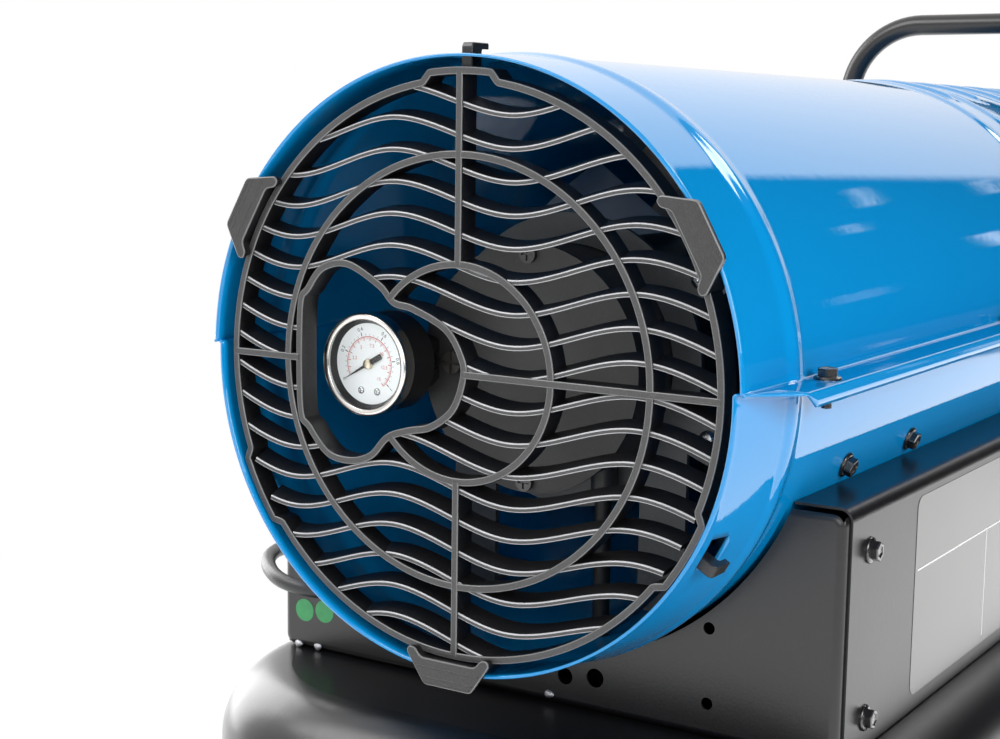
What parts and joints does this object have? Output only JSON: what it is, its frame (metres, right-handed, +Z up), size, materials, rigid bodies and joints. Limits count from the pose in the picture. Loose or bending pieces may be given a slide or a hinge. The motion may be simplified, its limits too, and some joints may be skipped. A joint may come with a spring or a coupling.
{
  "type": "forced air heater",
  "caption": "Wheeled direct-fired forced air heater: blue two-half barrel with a wavy inlet guard, pressure gauge, fan and burner on a black cabinet and fuel tank.",
  "frame": {"origin": "on the floor, midway between the two ends and the two sides of the heater, its loose cord left out", "axes": "+X is right seen from the air inlet, +Y is the way the hot air leaves, +Z is up"},
  "size_m": [0.492, 0.93, 0.6385],
  "materials": {
    "blue_paint": "gloss enamel",
    "black_paint": "satin powder coat",
    "black_zinc": "black zinc plating",
    "guard_plastic": "moulded, fine grain",
    "black_plastic": "moulded",
    "switch_plastic": "polished moulding",
    "cord_jacket": "soft flex jacket",
    "plug_rubber": "moulded on",
    "wheel_tyre": "solid rubber",
    "wheel_hub": "moulded",
    "zinc_plate": "zinc plated",
    "bright_steel": "bright drawn",
    "pump_grey": "grey cast finish",
    "bracket_grey": "grey paint",
    "motor_paint": "black enamel",
    "fan_aluminium": "as stamped",
    "foam": "open reticulated foam",
    "carbon": "sintered carbon",
    "gauge_chrome": "polished plating",
    "dial_white": "printed enamel",
    "clear_plastic": "clear moulding",
    "pointer_black": "black enamel",
    "brass": "turned",
    "heat_steel": "heat resisting, lightly tinted",
    "ceramic_white": "glazed",
    "hose_rubber": "fuel hose",
    "board_green": "circuit board",
    "float_orange": "moulded",
    "cap_red": "moulded",
    "tie_black": "nylon"
  },
  "bodies": {
    "heater": {"tank_upper": "black_paint", "tank_lower": "black_paint", "filler_neck": "black_zinc", "level_gauge_body": "black_plastic", "level_gauge_window": "clear_plastic", "axle_brackets": "black_paint", "wheel_axle": "zinc_plate", "axle_caps": "zinc_plate", "front_stand": "black_paint", "stand_feet": "plug_rubber", "rear_panel": "black_paint", "cabinet_bulkhead": "black_paint", "front_support": "black_paint", "right_side_cover": "black_paint", "left_side_cover": "black_paint", "cabinet_screws": "black_zinc", "upper_shell": "blue_paint", "lower_shell": "blue_paint", "shell_screws": "black_zinc", "front_handle": "black_paint", "fan_guard": "guard_plastic", "motor_case": "motor_paint", "motor_bracket": "bracket_grey", "pump_body": "pump_grey", "pump_end_cover": "pump_grey", "intake_filter": "foam", "cover_screws": "zinc_plate", "gauge_case": "gauge_chrome", "gauge_lens": "clear_plastic", "gauge_dial": "dial_white", "gauge_adapter": "black_plastic", "combustion_chamber": "heat_steel", "burner_head": "heat_steel", "nozzle": "brass", "igniter": "ceramic_white", "air_hose": "hose_rubber", "fuel_hose": "hose_rubber", "ignition_transformer": "black_plastic", "control_board": "board_green", "control_panel": "black_plastic", "cord_gland": "black_plastic", "power_cord": "cord_jacket", "cord_coil": "cord_jacket", "cord_tail": "cord_jacket", "mains_plug": "plug_rubber", "cord_tie": "tie_black"},
    "rotor": {"motor_rotor": "bright_steel", "fan": "fan_aluminium", "pump_rotor": "bright_steel", "pump_vanes": "carbon"},
    "left_wheel": {"left_wheel_hub": "wheel_hub", "left_wheel_tyre": "wheel_tyre"},
    "right_wheel": {"right_wheel_hub": "wheel_hub", "right_wheel_tyre": "wheel_tyre"},
    "tank_cap": {"fuel_cap": "cap_red"},
    "float": {"level_float": "float_orange"},
    "pointer": {"gauge_pointer": "pointer_black"},
    "regulator": {"regulator_screw": "brass"},
    "thermostat": {"thermostat_knob": "switch_plastic"},
    "rocker": {"power_switch": "switch_plastic"}
  },
  "joints": [
    {"name": "rotor_spin", "type": "hinge", "parent": "heater", "child": "rotor", "pos_m": [0, -0.208, 0.431], "axis": [0, 1, 0], "continuous": true},
    {"name": "left_wheel_roll", "type": "hinge", "parent": "heater", "child": "left_wheel", "pos_m": [-0.218, -0.284, 0.1], "axis": [1, 0, 0], "continuous": true},
    {"name": "right_wheel_roll", "type": "hinge", "parent": "heater", "child": "right_wheel", "pos_m": [0.218, -0.284, 0.1], "axis": [1, 0, 0], "continuous": true},
    {"name": "cap_turn", "type": "hinge", "parent": "heater", "child": "tank_cap", "pos_m": [0.105, 0.206, 0.292], "axis": [0, 0, 1], "range_deg": [0, 90]},
    {"name": "float_swing", "type": "hinge", "parent": "heater", "child": "float", "pos_m": [-0.105, 0.206, 0.264], "axis": [0, -1, 0], "range_deg": [0, 58]},
    {"name": "pressure_pointer", "type": "hinge", "parent": "heater", "child": "pointer", "pos_m": [-0.064, -0.412, 0.4315], "axis": [0, 1, 0], "range_deg": [0, 260], "stiffness_Nm_per_rad": 0.00001},
    {"name": "regulator_turn", "type": "hinge", "parent": "heater", "child": "regulator", "pos_m": [-0.039, -0.379, 0.431], "axis": [0, 1, 0], "range_deg": [-360, 360]},
    {"name": "thermostat_turn", "type": "hinge", "parent": "heater", "child": "thermostat", "pos_m": [0.16, 0.058, 0.325], "axis": [-1, 0, 0], "range_deg": [0, 270]},
    {"name": "rocker_tip", "type": "hinge", "parent": "heater", "child": "rocker", "pos_m": [0.1545, -0.014, 0.325], "axis": [0, 1, 0], "range_deg": [0, 14]}
  ]
}
